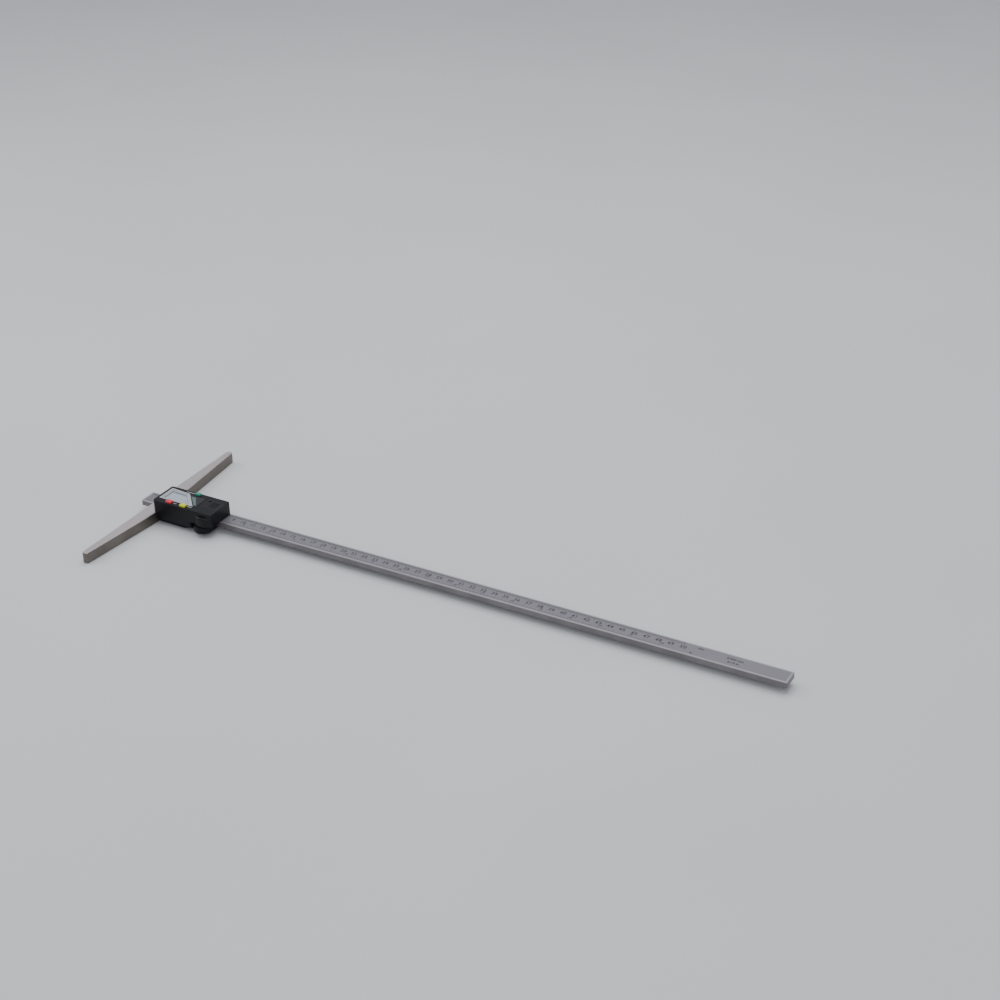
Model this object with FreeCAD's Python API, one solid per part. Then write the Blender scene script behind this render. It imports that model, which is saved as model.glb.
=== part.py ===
import FreeCAD, Part
import math
import os

# Digital depth caliper, 0-500 mm.
# Origin: middle of the bridge's measuring face.  +X runs along the beam towards its far end,
# +Z points out of the display, -Y is the side with the thumb roller.  Millimetres.

# Driving dimensions
RANGE = 500.0            # longest depth that can be read
REST_DEPTH = 11.2        # reading at rest: how far the tip stands out of the measuring face
BEAM_LENGTH = 585.0
BEAM_WIDTH = 16.0
BEAM_THICK = 5.0
BRIDGE_LENGTH = 200.0
BRIDGE_THICK = 10.0
BRIDGE_MID = 13.1        # plan width of the bridge behind the head
BRIDGE_END = 5.3         # plan width of the bridge at its ends
HEAD_X0 = 10.9
HEAD_X1 = 71.2
HEAD_NEAR = -20.0
HEAD_FAR = 7.5
HEAD_TOP = 17.0
WALL = 1.2               # wall of the plastic covers

# Fits
SLIDE_GAP = 0.05         # beam in its channel, roller on its axle
PANEL_GAP = 0.1          # buttons and battery cover in their openings
SCREW_GAP = 0.05
PAST = 1.0               # how far a cutting tool reaches past the faces it cuts

# Screws: shaft radius, head radius, head height
BRIDGE_SCREW = (1.5, 2.6, 1.2)
HOUSING_SCREW = (1.0, 1.8, 1.4)
LEDGE_SCREW = (0.8, 1.4, 0.8)
STOP_SCREW = (1.0, 2.2, 1.3)
GIB_SCREW_R = 1.25
LOCK_R = 1.5

# Beam
BEAM_Y = BEAM_WIDTH / 2
BEAM_Z0 = 0.1
BEAM_Z1 = BEAM_Z0 + BEAM_THICK
BEAM_X0 = -REST_DEPTH
BEAM_X1 = BEAM_X0 + BEAM_LENGTH
BEAM_END_ROUND = 1.0
STOP_TIP = 2.5           # where the stop screw ends inside the beam
BEAM_CHAMFER = 0.35
SCALE_WIDTH = 13.0
SCALE_MARGIN = 1.5
SCALE_X0 = BEAM_X0 + SCALE_MARGIN
SCALE_X1 = BEAM_X1 - SCALE_MARGIN
GRID_THICK = 0.5
LABEL_THICK = 0.2

# Bridge, and the frame behind it
FLOOR_Z = BEAM_Z0 - SLIDE_GAP
HALF_THICK = BRIDGE_THICK / 2
BRIDGE_END_ROUND = 1.2
BRIDGE_CHAMFER = 0.45
FRAME_NEAR = -15.6
FRAME_X1 = 63.0
FRAME_FAR = 13.0
FRAME_TOP = 5.3
FAR_WALL_X1 = 60.0
FRAME_NECK = (39.0, 47.0)  # where the near side steps in to clear the roller
NECK_WALL = 3.3
LEDGE = (15.5, 36.5)       # ends of the frame's near ledge
LEDGE_Z0 = 0.8
LEDGE_Z1 = 2.3
GIB_THICK = 1.0
GIB_Y0 = BEAM_Y + SLIDE_GAP
GIB_Y1 = GIB_Y0 + GIB_THICK
GIB_X0 = 15.0
GIB_X1 = 59.0
GIB_TOP = 4.6
TONGUE_X1 = 25.0
TONGUE_Y = 9.0
TONGUE_TOP = -2.5
SIDE_SCREW_Z = 2.3       # height of the gib screws and the lock screw
GIB_SCREW_X = (26.0, 51.0)
LOCK_X = 40.0
BRIDGE_SCREWS = ((19.0, -6.0), (19.0, 6.0))
HOUSING_SCREWS = ((20.0, 11.0), (56.0, 11.0))
LEDGE_SCREWS = ((18.5, -17.2), (33.5, -17.2))
HOUSING_SEAT = -HALF_THICK + 1.8
BRIDGE_SEAT = -HALF_THICK + 1.4
BRIDGE_TIP = -0.8        # where the bridge screws end, under the beam
STOP_X = FRAME_X1 + (RANGE - REST_DEPTH) + STOP_SCREW[1] + 0.2
KNOB_R = 4.0
KNOB_THICK = 5.0
COLLAR_R = 2.6
COLLAR_THICK = 0.6
KNOB_Y = FRAME_FAR + 0.2 + COLLAR_THICK

# Head
NEAR_ROUND = 2.4
FAR_ROUND = 1.6
TOP_ROUND = 0.5
INNER_NEAR_ROUND = 1.2
INNER_FAR_ROUND = 0.8
SKIRT_X0 = 13.3
SKIRT_X1 = 49.5
SKIRT_Z0 = -0.2
COVER_Z1 = LEDGE_Z0
CEILING = HEAD_TOP - WALL
FLANGE_X0 = 17.0         # flange over the frame's far wall
FLANGE_Y1 = 12.2
FLANGE_TOP = 8.3
BOSS = 2.0               # half width of the screw bosses
BOARD_TOP = FRAME_TOP + 1.0
BOARD_X0 = 13.8
BOARD_X1 = 50.6
CHIP_X = 30.0
CHIP_Y = -7.0
CHIP_R = 4.5
CHIP_HEIGHT = 1.2

# Display, as corner points seen from above
BEZEL = ((13.8, -14.0), (13.8, 4.2), (33.2, 2.6), (48.5, -14.0))
BEZEL_DEPTH = 0.5
BEZEL_PROUD = 0.25
BEZEL_RIM = 1.2
LENS_INSET = 0.6
LENS_THICK = 1.0
FACE_LABEL = ((34.2, 1.6), (50.6, 1.6), (50.6, -13.2), (48.9, -13.2))
FACE_LABEL_THICK = 0.15
GLASS = (14.85, 46.55, -13.05, 1.45)
GLASS_Z0 = 13.0
GLASS_Z1 = 15.2
HOLDER_WALL = 0.85
HOLDER_SHELF = 1.1
ZEBRA_WIDTH = 1.8

# Buttons
BUTTON_LONG = 5.8
BUTTON_WIDE = 4.0
NEAR_BUTTON_Y = HEAD_NEAR + WALL + PANEL_GAP + BUTTON_WIDE / 2
UNIT_LONG = 5.2
UNIT_WIDE = 3.2
FAR_BUTTON_Y = HEAD_FAR - WALL - PANEL_GAP - UNIT_WIDE / 2
# centre x, centre y, length, width
BUTTONS = {
    "button_off": (26.2, NEAR_BUTTON_Y, BUTTON_LONG, BUTTON_WIDE),
    "button_zero": (40.6, NEAR_BUTTON_Y, BUTTON_LONG, BUTTON_WIDE),
    "button_unit": (40.4, FAR_BUTTON_Y, UNIT_LONG, UNIT_WIDE),
}
BUTTON_PROUD = 1.5
BUTTON_TRAVEL = 0.8
BUTTON_ROUND = 0.8
BUTTON_LIP = 0.8
LIP_Z0 = 14.6
STEM_Z0 = 12.0
STEM_R = 1.0
PAD_R = 1.5

# Roller
ROLLER_R = 8.0
ROLLER_X = 59.8
ROLLER_Y = -BEAM_Y - SLIDE_GAP - ROLLER_R
ROLLER_Z0 = -1.0
ROLLER_Z1 = 4.4
AXLE_R = 1.0
AXLE_HEAD_R = 2.2
AXLE_HEAD_THICK = 0.6
AXLE_TOP = 8.0
WASHER_R = 2.6
WASHER_THICK = 0.4
LUG = 2.4                # half width of the lug that holds the axle
ROLLER_ROOM = 0.6
KNURLS = 48
KNURL_DEPTH = 0.35
BULGE_X = 61.8
BULGE_R = 11.0
BULGE_OUT = 2.8
BULGE_TOP = 13.5
BULGE_ROUND = 2.0

# Battery
CELL_R = 5.8
CELL_THICK = 5.4
CELL_X = 60.3
CELL_Y = -4.0
CELL_CAP = 0.6            # step of the cell's smaller pole
TRAY_X0 = 51.6
TRAY_Y0 = -11.5
TRAY_Z0 = 6.8
TRAY_Z1 = 14.2
POCKET_Z = 8.0
CONTACT_THICK = 0.3
CONTACT_WIDE = 2.0
CONTACT_FOOT_X = 49.5
PLUS_Y = -4.0
MINUS_Y = -8.0
PLUS_TOP = 13.0
DOOR_X0 = 52.2
DOOR_Y0 = -10.9
DOOR_Y1 = 3.4
DOOR_LIP = 1.3
DOOR_Z0 = 14.6
RIBS = 5                 # grip grooves in the battery cover
RIB_X = 60.5
RIB_STEP = 1.4
RIB_WIDE = 0.5
RIB_DEPTH = 0.35
DIMPLE_X = 56.4
DIMPLE_R = 1.3


def vec(x, y, z):
    return FreeCAD.Vector(x, y, z)


def box(x0, x1, y0, y1, z0, z1):
    return Part.makeBox(x1 - x0, y1 - y0, z1 - z0, vec(x0, y0, z0))


def post(x, y, z0, z1, radius):
    return Part.makeCylinder(radius, z1 - z0, vec(x, y, z0), vec(0, 0, 1))


def rod_y(x, z, y0, y1, radius):
    return Part.makeCylinder(radius, y1 - y0, vec(x, y0, z), vec(0, 1, 0))


def outline(points, z):
    corners = [vec(x, y, z) for x, y in points]
    return Part.Face(Part.makePolygon(corners + corners[:1]))


def prism(points, z0, z1, inset=0.0):
    face = outline(points, z0)
    if inset:
        face = face.makeOffset2D(-inset)
    return face.extrude(vec(0, 0, z1 - z0))


def upright_edge(shape, x, y):
    """The vertical edge that stands at x, y."""
    for edge in shape.Edges:
        ends = [v.Point for v in edge.Vertexes]
        if all(abs(p.x - x) < 0.01 and abs(p.y - y) < 0.01 for p in ends):
            return edge
    raise ValueError("no upright edge at %s, %s" % (x, y))


def round_corners(shape, corners):
    """Round vertical edges: corners maps (x, y) to a radius."""
    for (x, y), radius in corners.items():
        shape = shape.makeFillet(radius, [upright_edge(shape, x, y)])
    return shape


def edges_at_height(shape, z):
    """Edges that lie in the level plane at height z."""
    return [e for e in shape.Edges if max(abs(e.BoundBox.ZMin - z), abs(e.BoundBox.ZMax - z)) < 0.001]


def cheese_screw(x, y, seat_z, tip_z, size, slot=0.5):
    """Slotted screw driven from below: its head hangs under seat_z."""
    shaft_r, head_r, head_h = size
    head = post(x, y, seat_z - head_h, seat_z, head_r)
    shaft = post(x, y, seat_z, tip_z, shaft_r)
    cut = box(x - head_r, x + head_r, y - slot / 2, y + slot / 2, seat_z - head_h, seat_z - head_h / 2)
    return head.fuse(shaft).cut(cut).removeSplitter()


def screw_bore(x, y, base_z, seat_z, tip_z, size):
    """Counterbored hole for a cheese_screw."""
    shaft_r, head_r = size[:2]
    well = post(x, y, base_z, seat_z, head_r + SCREW_GAP)
    hole = post(x, y, seat_z, tip_z, shaft_r + SCREW_GAP)
    return well.fuse(hole)


def make_bridge():
    half = BRIDGE_LENGTH / 2
    points = (
        (0, -half),
        (BRIDGE_END, -half),
        (BRIDGE_MID, FRAME_NEAR + 2),
        (BRIDGE_MID, FRAME_FAR),
        (BRIDGE_END, half),
        (0, half),
    )
    bar = prism(points, -HALF_THICK, HALF_THICK)
    ends = {(x, y): BRIDGE_END_ROUND for x in (0, BRIDGE_END) for y in (-half, half)}
    bar = round_corners(bar, ends)
    long_edges = edges_at_height(bar, HALF_THICK) + edges_at_height(bar, -HALF_THICK)
    bar = bar.makeChamfer(BRIDGE_CHAMFER, long_edges)
    tongue = box(BRIDGE_MID - 1, TONGUE_X1, -TONGUE_Y, TONGUE_Y, -HALF_THICK, TONGUE_TOP)
    channel_y = BEAM_Y + SLIDE_GAP
    channel = box(-PAST, TONGUE_X1, -channel_y, channel_y, FLOOR_Z, HALF_THICK + PAST)
    bridge = bar.fuse(tongue).cut(channel)
    for x, y in BRIDGE_SCREWS:
        bridge = bridge.cut(screw_bore(x, y, -HALF_THICK, BRIDGE_SEAT, 0, BRIDGE_SCREW))
    return bridge.removeSplitter()


def make_slider_frame():
    thin_y = -BEAM_Y - NECK_WALL
    points = (
        (BRIDGE_MID, FRAME_NEAR),
        (FRAME_NECK[0], FRAME_NEAR),
        (FRAME_NECK[1], thin_y),
        (FRAME_X1, thin_y),
        (FRAME_X1, BEAM_Y + SLIDE_GAP),
        (FAR_WALL_X1, BEAM_Y + SLIDE_GAP),
        (FAR_WALL_X1, FRAME_FAR),
        (BRIDGE_MID, FRAME_FAR),
    )
    plate = prism(points, -HALF_THICK, FRAME_TOP)
    ledge = box(*LEDGE, HEAD_NEAR + WALL + 0.2, FRAME_NEAR + PAST, LEDGE_Z0, LEDGE_Z1)
    channel = box(0, HEAD_X1, -BEAM_Y - SLIDE_GAP, GIB_Y1, FLOOR_Z, FRAME_TOP + PAST)
    rebate = box(0, TONGUE_X1, -TONGUE_Y, TONGUE_Y, -HALF_THICK - PAST, TONGUE_TOP)
    room_z0 = ROLLER_Z0 - 2 * ROLLER_ROOM
    roller_room = post(ROLLER_X, ROLLER_Y, room_z0, FRAME_TOP + PAST, ROLLER_R + ROLLER_ROOM)
    frame = plate.fuse(ledge)
    for cut in (channel, rebate, roller_room):
        frame = frame.cut(cut)
    for x, y in BRIDGE_SCREWS:
        frame = frame.cut(post(x, y, TONGUE_TOP - PAST, BRIDGE_TIP + 0.2, BRIDGE_SCREW[0] + SCREW_GAP))
    for x, y in HOUSING_SCREWS:
        bore = screw_bore(x, y, -HALF_THICK - PAST, HOUSING_SEAT, FRAME_TOP + PAST, HOUSING_SCREW)
        frame = frame.cut(bore)
    for x, y in LEDGE_SCREWS:
        frame = frame.cut(post(x, y, LEDGE_Z0 - PAST, LEDGE_Z1 + PAST, LEDGE_SCREW[0] + SCREW_GAP))
    for x in GIB_SCREW_X:
        frame = frame.cut(rod_y(x, SIDE_SCREW_Z, GIB_Y0, FRAME_FAR + PAST, GIB_SCREW_R + SCREW_GAP))
    frame = frame.cut(rod_y(LOCK_X, SIDE_SCREW_Z, GIB_Y0, FRAME_FAR + PAST, LOCK_R + SLIDE_GAP))
    return frame.removeSplitter()


def make_bridge_screws():
    return [cheese_screw(x, y, BRIDGE_SEAT, BRIDGE_TIP, BRIDGE_SCREW) for x, y in BRIDGE_SCREWS]


def make_housing_screws():
    tip = FLANGE_TOP - 0.8
    return [cheese_screw(x, y, HOUSING_SEAT, tip, HOUSING_SCREW) for x, y in HOUSING_SCREWS]


def make_gib_strip():
    return box(GIB_X0, GIB_X1, GIB_Y0, GIB_Y1, FLOOR_Z, GIB_TOP)


def make_gib_screws():
    screws = []
    for x in GIB_SCREW_X:
        body = rod_y(x, SIDE_SCREW_Z, GIB_Y1, FRAME_FAR - 0.4, GIB_SCREW_R)
        slot = box(x - 2, x + 2, FRAME_FAR - 1.1, FRAME_FAR, SIDE_SCREW_Z - 0.2, SIDE_SCREW_Z + 0.2)
        screws.append(body.cut(slot))
    return screws


def ribbed_disc(radius, thick, count, depth, base):
    """A disc along +Z with count V-shaped grooves cut in its rim."""
    disc = Part.makeCylinder(radius, thick, base, vec(0, 0, 1))
    disc = disc.makeChamfer(0.3, [e for e in disc.Edges if len(e.Vertexes) == 1])
    half = math.pi * radius / count * 0.6
    groove = ((radius + 0.2, -half), (radius - depth, 0), (radius + 0.2, half))
    tooth = prism(groove, -PAST, thick + PAST)
    for i in range(count):
        turned = tooth.copy()
        turned.rotate(vec(0, 0, 0), vec(0, 0, 1), 360.0 * i / count)
        turned.translate(base)
        disc = disc.cut(turned)
    return disc


def make_lock_screw():
    head = ribbed_disc(KNOB_R, KNOB_THICK, KNURLS // 2, KNURL_DEPTH, vec(0, 0, KNOB_Y))
    collar = post(0, 0, KNOB_Y - COLLAR_THICK, KNOB_Y, COLLAR_R)
    shaft = post(0, 0, GIB_Y1 + SLIDE_GAP, KNOB_Y - COLLAR_THICK, LOCK_R)
    screw = head.fuse(collar).fuse(shaft).removeSplitter()
    screw.rotate(vec(0, 0, 0), vec(1, 0, 0), -90)
    screw.translate(vec(LOCK_X, 0, SIDE_SCREW_Z))
    return screw


def housing_shell():
    """Upper box of the top cover, open below."""
    outer = box(HEAD_X0, HEAD_X1, HEAD_NEAR, HEAD_FAR, FRAME_TOP, HEAD_TOP)
    outer = round_corners(outer, {
        (HEAD_X0, HEAD_NEAR): NEAR_ROUND,
        (HEAD_X1, HEAD_NEAR): NEAR_ROUND,
        (HEAD_X0, HEAD_FAR): FAR_ROUND,
        (HEAD_X1, HEAD_FAR): FAR_ROUND,
    })
    outer = outer.makeFillet(TOP_ROUND, edges_at_height(outer, HEAD_TOP))
    x0, x1 = HEAD_X0 + WALL, HEAD_X1 - WALL
    y0, y1 = HEAD_NEAR + WALL, HEAD_FAR - WALL
    room = box(x0, x1, y0, y1, FRAME_TOP - PAST, CEILING)
    room = round_corners(room, {
        (x0, y0): INNER_NEAR_ROUND,
        (x1, y0): INNER_NEAR_ROUND,
        (x0, y1): INNER_FAR_ROUND,
        (x1, y1): INNER_FAR_ROUND,
    })
    return outer.cut(room)


def housing_skirt():
    """Near side of the top cover, reaching down beside the frame."""
    inner_edge = FRAME_NEAR - 0.1
    outer = box(SKIRT_X0, SKIRT_X1, HEAD_NEAR, inner_edge, SKIRT_Z0, FRAME_TOP)
    outer = round_corners(outer, {(SKIRT_X0, HEAD_NEAR): 1.2, (SKIRT_X1, HEAD_NEAR): NEAR_ROUND})
    x0, x1 = SKIRT_X0 + WALL, SKIRT_X1 - WALL
    room = box(x0, x1, HEAD_NEAR + WALL, 0, SKIRT_Z0 - PAST, FRAME_TOP + PAST)
    return outer.cut(room)


def roller_bulge():
    """Rounded bulge of the near side, above the thumb roller."""
    centre_y = HEAD_NEAR - BULGE_OUT + BULGE_R
    drum = post(BULGE_X, centre_y, FRAME_TOP, BULGE_TOP, BULGE_R)
    drum = drum.makeFillet(BULGE_ROUND, edges_at_height(drum, BULGE_TOP))
    near = HEAD_NEAR - BULGE_OUT - PAST
    keep = box(HEAD_X0, HEAD_X1, near, HEAD_NEAR + WALL / 2, FRAME_TOP, BULGE_TOP)
    return drum.common(keep)


def make_housing():
    housing = housing_shell().fuse(housing_skirt()).fuse(roller_bulge())
    in_wall = HEAD_NEAR + WALL / 2
    lug = box(ROLLER_X - LUG, ROLLER_X + LUG, in_wall, ROLLER_Y + LUG, FRAME_TOP, AXLE_TOP + 1)
    flange = box(FLANGE_X0, FAR_WALL_X1, HEAD_FAR - WALL / 2, FLANGE_Y1, FRAME_TOP, FLANGE_TOP)
    housing = housing.fuse(lug).fuse(flange)
    for x, y in LEDGE_SCREWS:
        boss = box(x - BOSS, x + BOSS, in_wall, FRAME_NEAR - 0.2, LEDGE_Z1, FRAME_TOP - 0.1)
        pilot = post(x, y, 0, FRAME_TOP - 0.6, LEDGE_SCREW[0] + SCREW_GAP)
        housing = housing.fuse(boss).cut(pilot)
    for x, y in HOUSING_SCREWS:
        pilot = post(x, y, FRAME_TOP - PAST, FLANGE_TOP - 0.6, HOUSING_SCREW[0] + SCREW_GAP)
        housing = housing.cut(pilot)
    housing = housing.cut(post(ROLLER_X, ROLLER_Y, FRAME_TOP - PAST, AXLE_TOP, AXLE_R))
    for cut in display_cuts() + button_cuts() + door_cuts():
        housing = housing.cut(cut)
    return housing.removeSplitter()


def display_cuts():
    """The display opening and the shallow bed of its bezel."""
    opening = prism(BEZEL, CEILING - PAST, HEAD_TOP + PAST, LENS_INSET)
    bed = prism(BEZEL, HEAD_TOP - BEZEL_DEPTH, HEAD_TOP + PAST)
    return [opening, bed]


def button_cuts():
    cuts = []
    for x, y, long, wide in BUTTONS.values():
        reach_x = long / 2 + PANEL_GAP
        reach_y = wide / 2 + PANEL_GAP
        cut = box(x - reach_x, x + reach_x, y - reach_y, y + reach_y, CEILING - PAST, HEAD_TOP + PAST)
        cuts.append(cut)
    return cuts


def door_cuts():
    """Opening for the battery cover, and the slot for its lips in the end wall."""
    y0, y1 = DOOR_Y0 - PANEL_GAP, DOOR_Y1 + PANEL_GAP
    opening = box(DOOR_X0 - 0.2, HEAD_X1 + PAST, y0, y1, CEILING - PAST, HEAD_TOP + PAST)
    inner_x = HEAD_X1 - WALL - PAST
    slot = box(inner_x, HEAD_X1 + PAST, y0 - DOOR_LIP, y1 + DOOR_LIP, DOOR_Z0 - PANEL_GAP, CEILING)
    return [opening, slot]


def make_back_cover():
    """Plate that closes the skirt from below, clamped under the frame's ledge."""
    x0, x1 = SKIRT_X0 + WALL, SKIRT_X1 - WALL
    cover = box(x0, x1, HEAD_NEAR + WALL, FRAME_NEAR - 0.1, SKIRT_Z0, COVER_Z1)
    for x, y in LEDGE_SCREWS:
        cover = cover.cut(post(x, y, SKIRT_Z0 - PAST, COVER_Z1 + PAST, LEDGE_SCREW[0] + SCREW_GAP))
    return cover


def make_back_cover_screws():
    return [cheese_screw(x, y, SKIRT_Z0, FRAME_TOP - 0.8, LEDGE_SCREW, 0.4) for x, y in LEDGE_SCREWS]


def make_thumb_roller():
    base = vec(ROLLER_X, ROLLER_Y, ROLLER_Z0)
    disc = ribbed_disc(ROLLER_R, ROLLER_Z1 - ROLLER_Z0, KNURLS, KNURL_DEPTH, base)
    bore = post(ROLLER_X, ROLLER_Y, ROLLER_Z0 - PAST, ROLLER_Z1 + PAST, AXLE_R + SLIDE_GAP)
    return disc.cut(bore)


def make_roller_axle():
    """Headed pin, pressed into the cover from below."""
    base = ROLLER_Z0 - 0.1 - WASHER_THICK
    head = post(ROLLER_X, ROLLER_Y, base - AXLE_HEAD_THICK, base, AXLE_HEAD_R)
    return head.fuse(post(ROLLER_X, ROLLER_Y, base, AXLE_TOP, AXLE_R)).removeSplitter()


def make_roller_washer():
    top = ROLLER_Z0 - 0.1
    ring = post(ROLLER_X, ROLLER_Y, top - WASHER_THICK, top, WASHER_R)
    return ring.cut(post(ROLLER_X, ROLLER_Y, top - PAST, top + PAST, AXLE_R + SLIDE_GAP))


def make_display_bezel():
    ring = prism(BEZEL, HEAD_TOP - BEZEL_DEPTH, HEAD_TOP + BEZEL_PROUD)
    return ring.cut(prism(BEZEL, CEILING, HEAD_TOP + PAST, BEZEL_RIM))


def make_display_window():
    top = HEAD_TOP - BEZEL_DEPTH
    return prism(BEZEL, top - LENS_THICK, top, LENS_INSET + 0.05)


def make_face_label():
    return prism(FACE_LABEL, HEAD_TOP, HEAD_TOP + FACE_LABEL_THICK)


def make_lcd_glass():
    return box(*GLASS, GLASS_Z0, GLASS_Z1)


def make_lcd_holder():
    x0, x1, y0, y1 = GLASS
    around = HOLDER_WALL
    shelf = HOLDER_SHELF
    body = box(x0 - around, x1 + around, y0 - around, y1 + around, BOARD_TOP, GLASS_Z0 + 1)
    seat = box(x0 - 0.05, x1 + 0.05, y0 - 0.05, y1 + 0.05, GLASS_Z0, GLASS_Z1)
    hollow = box(x0 + shelf, x1 - shelf, y0 + shelf, y1 - 0.9, BOARD_TOP - PAST, GLASS_Z1)
    return body.cut(seat).cut(hollow)


def make_zebra_connector():
    y1 = GLASS[3] - 1.0
    return box(GLASS[0] + 3, GLASS[1] - 3, y1 - ZEBRA_WIDTH, y1, BOARD_TOP, GLASS_Z0)


def make_main_board():
    x0, x1 = BOARD_X0, BOARD_X1
    y0, y1 = HEAD_NEAR + WALL + 0.3, HEAD_FAR - WALL - 0.3
    points = ((x0, y0 + 2), (x0 + 2, y0), (x1, y0), (x1, y1), (x0 + 1, y1), (x0, y1 - 1))
    return prism(points, FRAME_TOP, BOARD_TOP)


def make_driver_chip():
    top = BOARD_TOP + CHIP_HEIGHT
    chip = post(CHIP_X, CHIP_Y, BOARD_TOP, top, CHIP_R)
    return chip.makeFillet(1.0, edges_at_height(chip, top))


def make_button_pads():
    height = STEM_Z0 - BUTTON_TRAVEL - 0.2 - BOARD_TOP
    spots = [button[:2] for button in BUTTONS.values()]
    return [Part.makeCone(PAD_R, STEM_R, height, vec(x, y, BOARD_TOP), vec(0, 0, 1)) for x, y in spots]


def make_button(name):
    x, y, long, wide = BUTTONS[name]
    half_x, half_y = long / 2, wide / 2
    top = HEAD_TOP + BUTTON_PROUD
    cap = box(x - half_x, x + half_x, y - half_y, y + half_y, LIP_Z0, top)
    corners = [(x + sx * half_x, y + sy * half_y) for sx in (-1, 1) for sy in (-1, 1)]
    cap = round_corners(cap, {corner: BUTTON_ROUND for corner in corners})
    cap = cap.makeFillet(0.35, edges_at_height(cap, top))
    lip_x = half_x + BUTTON_LIP
    lips = box(x - lip_x, x + lip_x, y - half_y, y + half_y, LIP_Z0, CEILING - PANEL_GAP)
    stem = post(x, y, STEM_Z0, LIP_Z0, STEM_R)
    return cap.fuse(lips).fuse(stem).removeSplitter()


def make_battery_tray():
    x1, y1 = HEAD_X1 - WALL, HEAD_FAR - WALL
    tray = box(TRAY_X0, x1, TRAY_Y0, y1, TRAY_Z0, TRAY_Z1)
    tray = round_corners(tray, {(x1, y1): 1.0})
    tray = tray.cut(post(CELL_X, CELL_Y, POCKET_Z, TRAY_Z1 + PAST, CELL_R + PANEL_GAP))
    edge_x = CELL_X - CELL_R
    half = CONTACT_WIDE / 2 + PANEL_GAP
    plus_slot = box(edge_x - 0.5, edge_x + 0.1, PLUS_Y - half, PLUS_Y + half, TRAY_Z0 - PAST, TRAY_Z1 + PAST)
    minus_slot = box(TRAY_X0 - PAST, CELL_X, MINUS_Y - half, MINUS_Y + half, POCKET_Z, POCKET_Z + 0.5)
    return tray.cut(plus_slot).cut(minus_slot)


def make_battery_cell():
    z0 = POCKET_Z + CONTACT_THICK
    z1 = z0 + CELL_THICK
    cap = post(CELL_X, CELL_Y, z0, z0 + CELL_CAP, CELL_R - 1.4)
    can = post(CELL_X, CELL_Y, z0 + CELL_CAP, z1, CELL_R)
    can = can.makeFillet(0.5, edges_at_height(can, z1))
    return can.fuse(cap).removeSplitter()


def make_contact_plus():
    x1 = CELL_X - CELL_R
    y0, y1 = PLUS_Y - CONTACT_WIDE / 2, PLUS_Y + CONTACT_WIDE / 2
    foot = box(CONTACT_FOOT_X, x1, y0, y1, BOARD_TOP, BOARD_TOP + CONTACT_THICK)
    blade = box(x1 - CONTACT_THICK, x1, y0, y1, BOARD_TOP, PLUS_TOP)
    return foot.fuse(blade).removeSplitter()


def make_contact_minus():
    x0, x1 = TRAY_X0 - 0.6 - CONTACT_THICK, TRAY_X0 - 0.6
    y0, y1 = MINUS_Y - CONTACT_WIDE / 2, MINUS_Y + CONTACT_WIDE / 2
    foot = box(CONTACT_FOOT_X, x1, y0, y1, BOARD_TOP, BOARD_TOP + CONTACT_THICK)
    riser = box(x0, x1, y0, y1, BOARD_TOP, POCKET_Z + CONTACT_THICK)
    blade = box(x0, CELL_X - 1, y0, y1, POCKET_Z, POCKET_Z + CONTACT_THICK)
    return foot.fuse(riser).fuse(blade).removeSplitter()


def make_battery_cover():
    plate = box(DOOR_X0, HEAD_X1, DOOR_Y0, DOOR_Y1, DOOR_Z0, HEAD_TOP)
    lips = box(DOOR_X0, HEAD_X1, DOOR_Y0 - DOOR_LIP, DOOR_Y1 + DOOR_LIP, DOOR_Z0, CEILING - PANEL_GAP)
    hollow = box(DOOR_X0 + 1, HEAD_X1 - WALL, DOOR_Y0 + 1, DOOR_Y1 - 1, DOOR_Z0 - PAST, CEILING)
    cover = plate.fuse(lips).cut(hollow)
    edge = [e for e in edges_at_height(cover, HEAD_TOP) if abs(e.BoundBox.XMin - HEAD_X1) < 0.001]
    cover = cover.makeFillet(0.7, edge)
    cover = cover.cut(post(DIMPLE_X, 0, HEAD_TOP - 0.5, HEAD_TOP + PAST, DIMPLE_R))
    y0, y1 = DOOR_Y0 + 3, DOOR_Y1 - 3
    for i in range(RIBS):
        x = RIB_X + RIB_STEP * i
        cover = cover.cut(box(x, x + RIB_WIDE, y0, y1, HEAD_TOP - RIB_DEPTH, HEAD_TOP + PAST))
    return cover.removeSplitter()


def make_beam():
    beam = box(BEAM_X0, BEAM_X1, -BEAM_Y, BEAM_Y, BEAM_Z0, BEAM_Z1)
    beam = round_corners(beam, {(BEAM_X1, y): BEAM_END_ROUND for y in (-BEAM_Y, BEAM_Y)})
    long_edges = [e for e in beam.Edges if e.BoundBox.XLength > BEAM_LENGTH / 2]
    beam = beam.makeChamfer(BEAM_CHAMFER, long_edges)
    bed_z = BEAM_Z1 - GRID_THICK - LABEL_THICK
    bed = box(SCALE_X0, SCALE_X1, -SCALE_WIDTH / 2, SCALE_WIDTH / 2, bed_z, BEAM_Z1 + PAST)
    hole = post(STOP_X, 0, BEAM_Z0 - PAST, STOP_TIP + 0.1, STOP_SCREW[0] + SCREW_GAP)
    return beam.cut(bed).cut(hole)


def make_grid_strip():
    top = BEAM_Z1 - LABEL_THICK
    return box(SCALE_X0, SCALE_X1, -SCALE_WIDTH / 2, SCALE_WIDTH / 2, top - GRID_THICK, top)


def make_scale_label():
    return box(SCALE_X0, SCALE_X1, -SCALE_WIDTH / 2, SCALE_WIDTH / 2, BEAM_Z1 - LABEL_THICK, BEAM_Z1)


def make_stop_screw():
    return cheese_screw(STOP_X, 0, BEAM_Z0, STOP_TIP, STOP_SCREW)


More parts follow.
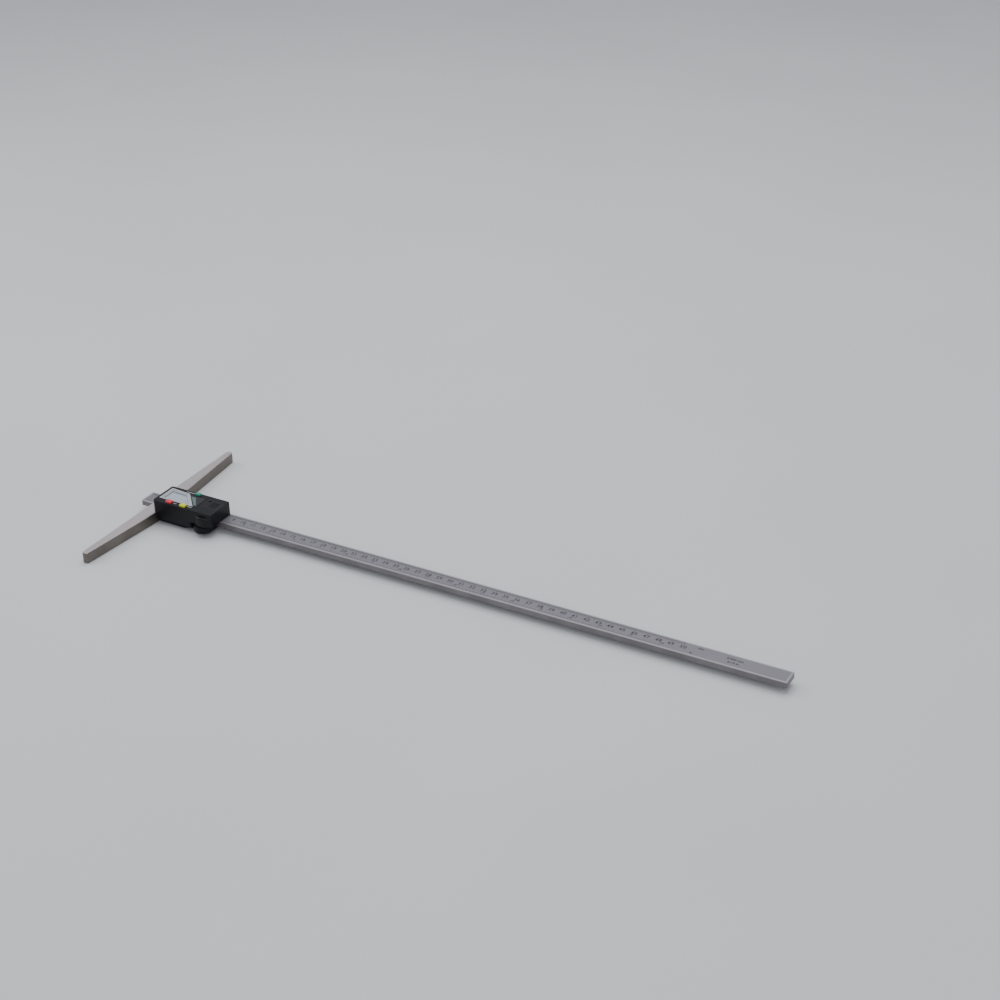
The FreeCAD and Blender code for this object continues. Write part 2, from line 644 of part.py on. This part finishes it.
PARTS = {
    "bridge": make_bridge,
    "slider_frame": make_slider_frame,
    "bridge_screws": make_bridge_screws,
    "gib_strip": make_gib_strip,
    "gib_screws": make_gib_screws,
    "lock_screw": make_lock_screw,
    "housing": make_housing,
    "housing_screws": make_housing_screws,
    "back_cover": make_back_cover,
    "back_cover_screws": make_back_cover_screws,
    "thumb_roller": make_thumb_roller,
    "roller_axle": make_roller_axle,
    "roller_washer": make_roller_washer,
    "display_bezel": make_display_bezel,
    "display_window": make_display_window,
    "face_label": make_face_label,
    "lcd_glass": make_lcd_glass,
    "lcd_holder": make_lcd_holder,
    "zebra_connector": make_zebra_connector,
    "main_board": make_main_board,
    "driver_chip": make_driver_chip,
    "button_pads": make_button_pads,
    "battery_tray": make_battery_tray,
    "battery_cell": make_battery_cell,
    "contact_plus": make_contact_plus,
    "contact_minus": make_contact_minus,
    "battery_cover": make_battery_cover,
    "beam": make_beam,
    "grid_strip": make_grid_strip,
    "scale_label": make_scale_label,
    "stop_screw": make_stop_screw,
}


def save(name, made):
    solids = made if isinstance(made, list) else [made]
    shape = Part.makeCompound(solids) if len(solids) > 1 else solids[0]
    shape.exportStep("parts/%s.step" % name)
    print("%-20s solids %d volume %.1f valid %s" % (name, len(shape.Solids), shape.Volume, shape.isValid()))


os.makedirs("parts", exist_ok=True)
for part_name, maker in PARTS.items():
    save(part_name, maker())
for button_name in BUTTONS:
    save(button_name, make_button(button_name))
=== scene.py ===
import math

import bmesh
import bpy
from mathutils import Matrix, Vector


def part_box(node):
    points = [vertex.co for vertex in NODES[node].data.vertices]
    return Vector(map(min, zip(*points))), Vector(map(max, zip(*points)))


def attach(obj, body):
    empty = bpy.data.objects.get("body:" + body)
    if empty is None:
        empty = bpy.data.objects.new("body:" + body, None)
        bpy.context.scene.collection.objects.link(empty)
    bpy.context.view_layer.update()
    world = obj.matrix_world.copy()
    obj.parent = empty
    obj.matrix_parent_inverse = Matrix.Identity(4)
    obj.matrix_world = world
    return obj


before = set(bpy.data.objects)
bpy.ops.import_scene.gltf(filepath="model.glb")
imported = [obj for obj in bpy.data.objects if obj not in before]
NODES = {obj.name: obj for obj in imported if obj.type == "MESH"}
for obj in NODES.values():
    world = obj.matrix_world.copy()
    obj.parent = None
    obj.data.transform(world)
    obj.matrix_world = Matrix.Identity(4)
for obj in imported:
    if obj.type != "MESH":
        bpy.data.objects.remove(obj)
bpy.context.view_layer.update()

MM = 0.001
INK_THICK = 0.02 * MM
STROKE_GAIN = 0.11 * MM    # how much bolder the lettering is than the plain font
CAP_HEIGHT = 0.7           # height of a capital over the font's size

# Where the printed things lie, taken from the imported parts
LABEL_LOW, LABEL_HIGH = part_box("scale_label")
GLASS_LOW, GLASS_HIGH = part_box("lcd_glass")
FACE_LOW, FACE_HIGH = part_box("face_label")
BEZEL_LOW, BEZEL_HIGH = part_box("display_bezel")
FLOOR_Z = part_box("bridge")[0].z
TIP_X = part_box("beam")[0].x


# ---------------------------------------------------------------- materials

class Shader:
    """One Principled material with the node helpers that the finishes share."""

    def __init__(self, name, rough, metal=0.0, specular=0.5, coat=0.0):
        self.material = bpy.data.materials.new(name)
        self.material.use_nodes = True
        self.tree = self.material.node_tree
        self.bsdf = self.tree.nodes["Principled BSDF"]
        self.bsdf.inputs["Roughness"].default_value = rough
        self.bsdf.inputs["Metallic"].default_value = metal
        self.bsdf.inputs["Specular IOR Level"].default_value = specular
        self.bsdf.inputs["Coat Weight"].default_value = coat
        self.coords = self.tree.nodes.new("ShaderNodeTexCoord")

    def node(self, kind, **settings):
        made = self.tree.nodes.new(kind)
        for key, value in settings.items():
            setattr(made, key, value)
        return made

    def link(self, source, target):
        self.tree.links.new(source, target)

    def stretched(self, scale):
        """Object coordinates scaled along X, Y and Z, in cycles per metre."""
        mapping = self.node("ShaderNodeMapping")
        mapping.inputs["Scale"].default_value = scale
        self.link(self.coords.outputs["Object"], mapping.inputs["Vector"])
        return mapping.outputs["Vector"]

    def noise(self, scale, detail=3.0):
        texture = self.node("ShaderNodeTexNoise")
        texture.inputs["Scale"].default_value = 1.0
        texture.inputs["Detail"].default_value = detail
        self.link(self.stretched(scale), texture.inputs["Vector"])
        return texture.outputs["Fac"]

    def ramp(self, value, stops):
        """Colours over a 0 to 1 value; stops are (place, (r, g, b))."""
        ramp = self.node("ShaderNodeValToRGB")
        elements = ramp.color_ramp.elements
        while len(elements) < len(stops):
            elements.new(0.5)
        for element, (place, colour) in zip(elements, stops):
            element.position = place
            element.color = (*colour, 1.0)
        self.link(value, ramp.inputs["Fac"])
        return ramp.outputs["Color"]

    def span(self, value, low, high):
        """A 0 to 1 value mapped to low to high."""
        mapped = self.node("ShaderNodeMapRange")
        mapped.inputs["To Min"].default_value = low
        mapped.inputs["To Max"].default_value = high
        self.link(value, mapped.inputs["Value"])
        return mapped.outputs["Result"]

    def mix(self, factor, first, second):
        mixer = self.node("ShaderNodeMix", data_type="RGBA")
        self.link(factor, mixer.inputs["Factor"])
        self.link(first, mixer.inputs["A"])
        self.link(second, mixer.inputs["B"])
        return mixer.outputs["Result"]

    def upness(self, start=0.35, end=0.65):
        """1 on faces that look up, 0 on the sides."""
        parts = self.node("ShaderNodeSeparateXYZ")
        self.link(self.coords.outputs["Normal"], parts.inputs["Vector"])
        mapped = self.node("ShaderNodeMapRange")
        mapped.inputs["From Min"].default_value = start
        mapped.inputs["From Max"].default_value = end
        self.link(parts.outputs["Z"], mapped.inputs["Value"])
        return mapped.outputs["Result"]

    def colour(self, socket):
        self.link(socket, self.bsdf.inputs["Base Color"])

    def rough(self, value, low, high):
        self.link(self.span(value, low, high), self.bsdf.inputs["Roughness"])

    def bump(self, value, strength, depth):
        bump = self.node("ShaderNodeBump")
        bump.inputs["Strength"].default_value = strength
        bump.inputs["Distance"].default_value = depth
        self.link(value, bump.inputs["Height"])
        self.link(bump.outputs["Normal"], self.bsdf.inputs["Normal"])


def darker(colour, factor):
    return tuple(c * factor for c in colour)


def ground_steel(name, top, side, grain, rough=0.34):
    """Steel with fine grinding lines along one axis; its lighter top and darker sides are painted light
    and shade.
    """
    s = Shader(name, rough, metal=0.85)
    lines = s.noise(grain, 4.0)
    patches = s.noise((60, 60, 60), 3.0)
    # painted light and shade: faces that look up get the lighter top colour, the sides get the darker
    # side colour
    lit_top = s.ramp(lines, ((0.3, darker(top, 0.86)), (0.7, top)))
    shaded_sides = s.ramp(patches, ((0.3, darker(side, 0.75)), (0.7, side)))
    s.colour(s.mix(s.upness(), shaded_sides, lit_top))
    s.rough(patches, rough - 0.06, rough + 0.08)
    s.bump(lines, 0.25, 0.00003)
    return s.material


def moulded_plastic(name, colour, rough, grain=2600, depth=0.00004, specular=0.5):
    """Plastic from a fine-grained mould, with slight cloudiness."""
    s = Shader(name, rough, specular=specular)
    fine = s.noise((grain, grain, grain), 2.0)
    cloud = s.noise((90, 90, 90), 3.0)
    s.colour(s.ramp(cloud, ((0.3, darker(colour, 0.8)), (0.7, colour))))
    s.rough(cloud, rough - 0.05, rough + 0.07)
    s.bump(fine, 0.35, depth)
    return s.material


def printed(name, colour, rough=0.5, metal=0.0):
    """Ink or film with a little unevenness."""
    s = Shader(name, rough, metal=metal)
    speck = s.noise((1500, 1500, 1500), 2.0)
    s.colour(s.ramp(speck, ((0.3, darker(colour, 0.82)), (0.7, colour))))
    s.rough(speck, rough - 0.04, rough + 0.06)
    return s.material


def turned_metal(name, colour, rough=0.3, metal=0.95):
    """Turned or stamped small metal parts."""
    s = Shader(name, rough, metal=metal)
    rings = s.noise((900, 900, 5200), 3.0)
    s.colour(s.ramp(rings, ((0.3, darker(colour, 0.8)), (0.7, colour))))
    s.rough(rings, rough - 0.05, rough + 0.1)
    s.bump(rings, 0.2, 0.00002)
    return s.material


def clear_window(name):
    """Clear acrylic with faint smears in its gloss."""
    s = Shader(name, 0.08, specular=0.5)
    smear = s.noise((120, 300, 120), 3.0)
    s.colour(s.ramp(smear, ((0.3, (0.62, 0.68, 0.74)), (0.7, (0.70, 0.76, 0.82)))))
    s.rough(smear, 0.05, 0.16)
    s.bsdf.inputs["Alpha"].default_value = 0.22
    return s.material


def circuit_board(name, resist, trace):
    """Solder resist over a pattern of tracks."""
    s = Shader(name, 0.35)
    wave = s.node("ShaderNodeTexWave", wave_profile="TRI")
    wave.inputs["Scale"].default_value = 160
    wave.inputs["Distortion"].default_value = 3.0
    s.link(s.coords.outputs["Object"], wave.inputs["Vector"])
    s.colour(s.ramp(wave.outputs["Fac"], ((0.45, resist), (0.55, trace))))
    s.rough(wave.outputs["Fac"], 0.3, 0.42)
    return s.material


def zebra_rubber(name):
    """Elastomer strip with carbon layers across it."""
    s = Shader(name, 0.6)
    wave = s.node("ShaderNodeTexWave", bands_direction="X")
    wave.inputs["Scale"].default_value = 900
    s.link(s.coords.outputs["Object"], wave.inputs["Vector"])
    s.colour(s.ramp(wave.outputs["Fac"], ((0.4, (0.05, 0.05, 0.05)), (0.6, (0.6, 0.6, 0.62)))))
    return s.material


def scale_film(name, colour):
    """Satin grey film of the scale, brushed along the beam."""
    s = Shader(name, 0.42, metal=0.45)
    lines = s.noise((60, 5200, 60), 3.0)
    cloud = s.noise((25, 90, 25), 3.0)
    fine = s.ramp(lines, ((0.3, darker(colour, 0.88)), (0.7, colour)))
    worn = s.ramp(lines, ((0.3, darker(colour, 0.98)), (0.7, darker(colour, 1.12))))
    s.colour(s.mix(cloud, fine, worn))
    s.rough(cloud, 0.36, 0.5)
    s.bump(lines, 0.15, 0.00001)
    return s.material


ALONG_X = (70, 6500, 6500)
ALONG_Y = (6500, 70, 6500)

FINISHES = {
    # bridge and beam: the lighter first colour on the top and the darker second colour on the sides are
    # painted light and shade
    "bridge": ground_steel("bridge_steel", (0.62, 0.57, 0.58), (0.20, 0.18, 0.16), ALONG_Y, 0.36),
    "beam": ground_steel("beam_steel", (0.42, 0.41, 0.44), (0.23, 0.215, 0.225), ALONG_X, 0.4),
    # the slider frame's near-black colour is painted shade for its shadowed near side
    "slider_frame": moulded_plastic("frame_painted_shade", (0.012, 0.012, 0.013), 0.42, 1800, 0.00002, 0.3),
    "gib_strip": turned_metal("gib_bronze", (0.62, 0.42, 0.20), 0.35),
    "housing": moulded_plastic("cover_black", (0.007, 0.007, 0.009), 0.36, specular=0.22),
    "battery_cover": moulded_plastic("door_black", (0.009, 0.009, 0.011), 0.38, specular=0.25),
    "back_cover": moulded_plastic("back_black", (0.008, 0.008, 0.009), 0.5, specular=0.25),
    "battery_tray": moulded_plastic("tray_black", (0.02, 0.02, 0.022), 0.5),
    "thumb_roller": moulded_plastic("roller_black", (0.007, 0.007, 0.008), 0.45, specular=0.25),
    "roller_washer": moulded_plastic("nylon_white", (0.75, 0.74, 0.70), 0.5),
    "display_bezel": turned_metal("bezel_silver", (0.74, 0.76, 0.80), 0.28, 0.7),
    "display_window": clear_window("window_clear"),
    "face_label": printed("face_gloss", (0.016, 0.019, 0.021), 0.16),
    "lcd_glass": printed("lcd_pale", (0.46, 0.53, 0.61), 0.22),
    "lcd_holder": moulded_plastic("holder_white", (0.72, 0.72, 0.70), 0.45),
    "zebra_connector": zebra_rubber("zebra"),
    "main_board": circuit_board("board_green", (0.02, 0.14, 0.06), (0.05, 0.24, 0.11)),
    "driver_chip": moulded_plastic("chip_epoxy", (0.012, 0.012, 0.012), 0.25, 900, 0.00005),
    "button_pads": moulded_plastic("pad_silicone", (0.55, 0.55, 0.53), 0.6),
    "battery_cell": turned_metal("cell_nickel", (0.72, 0.71, 0.69), 0.22),
    "contact_plus": turned_metal("contact_plus_plate", (0.74, 0.66, 0.44), 0.28),
    "contact_minus": turned_metal("contact_minus_plate", (0.74, 0.66, 0.44), 0.28),
    "grid_strip": circuit_board("grid_copper", (0.03, 0.16, 0.08), (0.45, 0.25, 0.13)),
    "scale_label": scale_film("scale_film", (0.215, 0.205, 0.235)),
    "button_off": moulded_plastic("button_red", (0.72, 0.045, 0.06), 0.32, 1800, 0.00003),
    "button_zero": moulded_plastic("button_yellow", (0.62, 0.66, 0.02), 0.32, 1800, 0.00003),
    "button_unit": moulded_plastic("button_green", (0.03, 0.27, 0.19), 0.32, 1800, 0.00003),
}
SCREW_STEEL = turned_metal("fastener_steel", (0.55, 0.55, 0.56), 0.3)
INK = printed("scale_ink", (0.025, 0.024, 0.03), 0.55)
PALE_INK = printed("pale_ink", (0.62, 0.66, 0.70), 0.5)
LCD_DARK = printed("lcd_segment", (0.30, 0.36, 0.43), 0.25)
MASK = printed("window_mask", (0.50, 0.54, 0.60), 0.25)
# greenish paint that stands for a highlight on the face beside the display
FACE_HIGHLIGHT_PAINT = printed("face_field", (0.10, 0.155, 0.15), 0.2)


def finish_nodes():
    for name, node in NODES.items():
        material = FINISHES.get(name, SCREW_STEEL)
        node.data.materials.clear()
        node.data.materials.append(material)


# ---------------------------------------------------------------- printed pieces

def piece(name, mesh, material, body):
    obj = bpy.data.objects.new(name, mesh)
    bpy.context.scene.collection.objects.link(obj)
    mesh.materials.append(material)
    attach(obj, body)


def add_plate(mesh, points, z):
    """A film of ink on the outline of points, in metres, standing on height z."""
    low = [mesh.verts.new((x, y, z)) for x, y in points]
    high = [mesh.verts.new((x, y, z + INK_THICK)) for x, y in points]
    mesh.faces.new(low[::-1])
    mesh.faces.new(high)
    count = len(points)
    for i in range(count):
        j = (i + 1) % count
        mesh.faces.new((low[i], low[j], high[j], high[i]))


def add_bar(mesh, x0, x1, y0, y1, z):
    add_plate(mesh, ((x0, y0), (x1, y0), (x1, y1), (x0, y1)), z)


def add_words(mesh, words, x, y, height, z, spacing=1.0):
    """Plain lettering centred on x, y."""
    curve = bpy.data.curves.new("words", "FONT")
    curve.body = words
    curve.size = height / CAP_HEIGHT
    curve.align_x = "CENTER"
    curve.align_y = "CENTER"
    curve.space_character = spacing
    curve.extrude = INK_THICK / 2
    curve.offset = STROKE_GAIN
    curve.resolution_u = 3
    holder = bpy.data.objects.new("words", curve)
    shape = bpy.data.meshes.new_from_object(holder)
    shape.transform(Matrix.Translation((x, y, z + INK_THICK / 2)))
    mesh.from_mesh(shape)
    bpy.data.objects.remove(holder)
    bpy.data.meshes.remove(shape)


def to_mesh(name, built):
    mesh = bpy.data.meshes.new(name)
    built.normal_update()
    built.to_mesh(mesh)
    built.free()
    return mesh


CENTIMETRES = 50
INCHES = 19
INCH_PARTS = 16
INCH = 25.4 * MM
TICK_WIDTH = 0.3 * MM
EDGE_GAP = 0.25 * MM
CLEAR_OF_TIP = 2 * MM      # the scale has no ticks nearer to the tip than this
NUMBER_HEIGHT = 3.5 * MM
NUMBER_Y = 0.35 * MM
INCH_NUMBER_HEIGHT = 1.8 * MM
INCH_NUMBER_Y = -2.6 * MM
INCH_NUMBER_SHIFT = 1.5 * MM
UNIT_HEIGHT = 2.0 * MM
RANGE_HEIGHT = 2.2 * MM
RANGE_X = 541 * MM


def tick_length(index, steps, shortest, step):
    """Longer ticks at rounder places: steps lists the spacings from fine to coarse."""
    level = sum(1 for every in steps if index % every == 0)
    return shortest + step * level


def scale_marks():
    """Millimetre ticks and numbers along the far edge, inch ticks and numbers along the near edge."""
    mesh = bmesh.new()
    z = LABEL_HIGH.z
    far = LABEL_HIGH.y - EDGE_GAP
    near = LABEL_LOW.y + EDGE_GAP
    half = TICK_WIDTH / 2
    for i in range(2, CENTIMETRES * 10 + 1):
        x = TIP_X + i * MM
        length = tick_length(i, (5, 10), 2.4 * MM, 0.8 * MM)
        add_bar(mesh, x - half, x + half, far - length, far, z)
    for i in range(1, INCHES * INCH_PARTS + 1):
        x = TIP_X + i * INCH / INCH_PARTS
        if x - TIP_X < CLEAR_OF_TIP:
            continue
        length = tick_length(i, (2, 4, 8, 16), 1.2 * MM, 0.5 * MM)
        add_bar(mesh, x - half, x + half, near, near + length, z)
    for n in range(1, CENTIMETRES + 1):
        add_words(mesh, str(n), TIP_X + n * 10 * MM, NUMBER_Y, NUMBER_HEIGHT, z, 1.15)
    for n in range(1, INCHES + 1):
        x = TIP_X + n * INCH + INCH_NUMBER_SHIFT
        add_words(mesh, str(n), x, INCH_NUMBER_Y, INCH_NUMBER_HEIGHT, z)
    add_words(mesh, "mm", TIP_X + 513 * MM, 4.0 * MM, UNIT_HEIGHT, z)
    add_words(mesh, "in", TIP_X + 508 * MM, -4.2 * MM, UNIT_HEIGHT, z)
    add_words(mesh, "0-500 mm", TIP_X + RANGE_X, 2.0 * MM, RANGE_HEIGHT, z)
    add_words(mesh, "0-19 in", TIP_X + RANGE_X, -2.4 * MM, RANGE_HEIGHT, z)
    piece("scale_marks", to_mesh("scale_marks", mesh), INK, "beam")


DIGITS = 5
DIGIT_W = 3.4 * MM
DIGIT_H = 6.8 * MM
DIGIT_SPACE = 1.2 * MM
DIGITS_X = GLASS_LOW.x + 4.6 * MM
DIGITS_Y = GLASS_LOW.y + 3.0 * MM
STROKE = 0.7 * MM
STROKE_GAP = 0.12 * MM
SLANT = 0.12


def segment_bars():
    """All seven bars of one digit with its lower left corner at 0, 0."""
    mid = DIGIT_H / 2
    right = DIGIT_W - STROKE
    end = STROKE / 2 + STROKE_GAP
    for y in (0, mid - STROKE / 2, DIGIT_H - STROKE):
        yield (STROKE + STROKE_GAP, right - STROKE_GAP, y, y + STROKE)
    for x in (0, right):
        for y in (0, mid):
            yield (x, x + STROKE, y + end, y + mid - end)


def display_digits():
    """Pale segments of a display that is switched off."""
    mesh = bmesh.new()
    z = GLASS_HIGH.z
    for i in range(DIGITS):
        x = DIGITS_X + i * (DIGIT_W + DIGIT_SPACE)
        for x0, x1, y0, y1 in segment_bars():
            lean = SLANT * (y0 + y1) / 2
            add_bar(mesh, x + x0 + lean, x + x1 + lean, DIGITS_Y + y0, DIGITS_Y + y1, z)
    piece("display_digits", to_mesh("display_digits", mesh), LCD_DARK, "head")


def inset_outline(points, distance):
    """The convex outline moved inwards by distance; points go clockwise seen from above."""
    lines = []
    count = len(points)
    for i in range(count):
        a, b = Vector(points[i]), Vector(points[(i + 1) % count])
        along = (b - a).normalized()
        inward = Vector((along.y, -along.x))
        lines.append((a + inward * distance, along))
    corners = []
    for i in range(count):
        (p, d), (q, e) = lines[i - 1], lines[i]
        cross = d.x * e.y - d.y * e.x
        t = ((q.x - p.x) * e.y - (q.y - p.y) * e.x) / cross
        corners.append(tuple(p + d * t))
    return corners


def add_ring(mesh, outer, inner, z):
    """Ink between two outlines that have the same number of corners."""
    count = len(outer)
    for i in range(count):
        j = (i + 1) % count
        add_plate(mesh, (outer[i], inner[i], inner[j], outer[j]), z)


RIM_INSET = 1.25 * MM      # inner edge of the bezel's ring
LINE_INSET = 2.3 * MM
LINE_WIDTH = 0.35 * MM
EDGE_TOLERANCE = 0.05 * MM


def bezel_outline():
    """Corners of the bezel seen from above, clockwise, read from its mesh."""
    points = [v.co for v in NODES["display_bezel"].data.vertices]
    top = [c for c in points if c.z > BEZEL_HIGH.z - EDGE_TOLERANCE / 5]
    on_left = [c for c in top if c.x < BEZEL_LOW.x + EDGE_TOLERANCE]
    on_near = [c for c in top if c.y < BEZEL_LOW.y + EDGE_TOLERANCE]
    near_left = min(on_left, key=lambda c: c.y)
    far_left = max(on_left, key=lambda c: c.y)
    near_right = max(on_near, key=lambda c: c.x)
    far_right = max(top, key=lambda c: (c - near_left).xy.dot(Vector((0.6, 1.0))))
    return [tuple(c.xy) for c in (near_left, far_left, far_right, near_right)]


def display_border():
    """Printed mask under the window and the thin line inside it."""
    mesh = bmesh.new()
    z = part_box("display_window")[1].z
    outline = bezel_outline()
    rim = inset_outline(outline, RIM_INSET)
    line_out = inset_outline(outline, LINE_INSET)
    line_in = inset_outline(outline, LINE_INSET + LINE_WIDTH)
    add_ring(mesh, line_out, line_in, z)
    piece("display_line", to_mesh("display_line", mesh), LCD_DARK, "head")
    mesh = bmesh.new()
    add_ring(mesh, rim, line_out, z)
    piece("display_mask", to_mesh("display_mask", mesh), MASK, "head")


def face_field():
    """Greenish slanted patch beside the display, a painted highlight on the face."""
    mesh = bmesh.new()
    outline = bezel_outline()
    far_right, near_right = Vector(outline[2]), Vector(outline[3])
    along = near_right - far_right
    start, end = far_right + along * 0.18, far_right + along * 0.86
    shift = Vector((1.3 * MM, 0))
    wide = Vector((4.6 * MM, 0))
    patch = [start + shift, start + shift + wide, end + shift + wide * 0.55, end + shift]
    add_plate(mesh, [tuple(p) for p in reversed(patch)], FACE_HIGH.z)
    piece("face_highlight_sheet", to_mesh("face_highlight_sheet", mesh), FACE_HIGHLIGHT_PAINT, "head")


def face_strokes():
    """Short plain strokes where the small words by the buttons stand."""
    mesh = bmesh.new()
    top = FACE_LOW.z
    unit_low, unit_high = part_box("button_unit")
    unit_y = (unit_low.y + unit_high.y) / 2
    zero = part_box("button_zero")[1]
    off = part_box("button_off")[1]
    add_bar(mesh, unit_low.x - 8.5 * MM, unit_low.x - 0.4 * MM, unit_y + 0.1 * MM, unit_y + 0.6 * MM, top)
    add_bar(mesh, zero.x + 0.1 * MM, zero.x + 4.3 * MM, zero.y - 1.2 * MM, zero.y - 0.7 * MM, top)
    add_bar(mesh, off.x + 0.3 * MM, off.x + 3.7 * MM, off.y - 1.9 * MM, off.y - 1.5 * MM, top)
    piece("face_strokes", to_mesh("face_strokes", mesh), PALE_INK, "head")


# ---------------------------------------------------------------- stage, light, camera

FLOOR_HALF = 6.0


def floor():
    mesh = bmesh.new()
    side = FLOOR_HALF
    corners = [(-side, -side), (side, -side), (side, side), (-side, side)]
    mesh.faces.new([mesh.verts.new((x, y, FLOOR_Z)) for x, y in corners])
    data = to_mesh("floor", mesh)
    obj = bpy.data.objects.new("floor", data)
    bpy.context.scene.collection.objects.link(obj)
    s = Shader("floor_paint", 0.75)
    cloud = s.noise((3, 3, 3), 2.0)
    s.colour(s.ramp(cloud, ((0.3, (0.60, 0.61, 0.63)), (0.7, (0.63, 0.64, 0.66)))))
    data.materials.append(s.material)


def area_light(name, place, target, size, power):
    data = bpy.data.lights.new(name, "AREA")
    data.shape = "SQUARE"
    data.size = size
    data.energy = power
    obj = bpy.data.objects.new(name, data)
    bpy.context.scene.collection.objects.link(obj)
    obj.location = place
    aim = Vector(target) - Vector(place)
    obj.rotation_euler = aim.to_track_quat("-Z", "Y").to_euler()


def lights():
    world = bpy.data.worlds.new("studio")
    bpy.context.scene.world = world
    world.use_nodes = True
    world.node_tree.nodes["Background"].inputs["Color"].default_value = (0.93, 0.95, 1.0, 1)
    world.node_tree.nodes["Background"].inputs["Strength"].default_value = 0.55
    middle = (0.25, 0, 0)
    area_light("overhead", (0.1, 0.5, 1.7), middle, 1.6, 22)
    area_light("side", (-1.4, -0.3, 1.1), middle, 1.0, 9)
    area_light("front", (1.0, -1.5, 1.3), middle, 1.2, 8)


CAMERA_PLACE = Vector((0.91897, -1.04918, 0.75931))
YAW, PITCH, ROLL = (math.radians(a) for a in (29.099, 29.120, 0.744))
LENS = 65.49


def camera():
    """Camera that looks down along YAW and PITCH, with a slight roll."""
    ahead = Vector((-math.sin(YAW) * math.cos(PITCH), math.cos(YAW) * math.cos(PITCH), -math.sin(PITCH)))
    level = Vector((math.cos(YAW), math.sin(YAW), 0))
    below = ahead.cross(level)
    right = level * math.cos(ROLL) + below * math.sin(ROLL)
    up = level * math.sin(ROLL) - below * math.cos(ROLL)
    turn = Matrix((right, up, -ahead)).transposed()
    data = bpy.data.cameras.new("camera")
    data.sensor_width = 36
    data.lens = LENS
    obj = bpy.data.objects.new("camera", data)
    bpy.context.scene.collection.objects.link(obj)
    obj.matrix_world = Matrix.Translation(CAMERA_PLACE) @ turn.to_4x4()
    bpy.context.scene.camera = obj


finish_nodes()
scale_marks()
display_digits()
display_border()
face_field()
face_strokes()
floor()
lights()
camera()
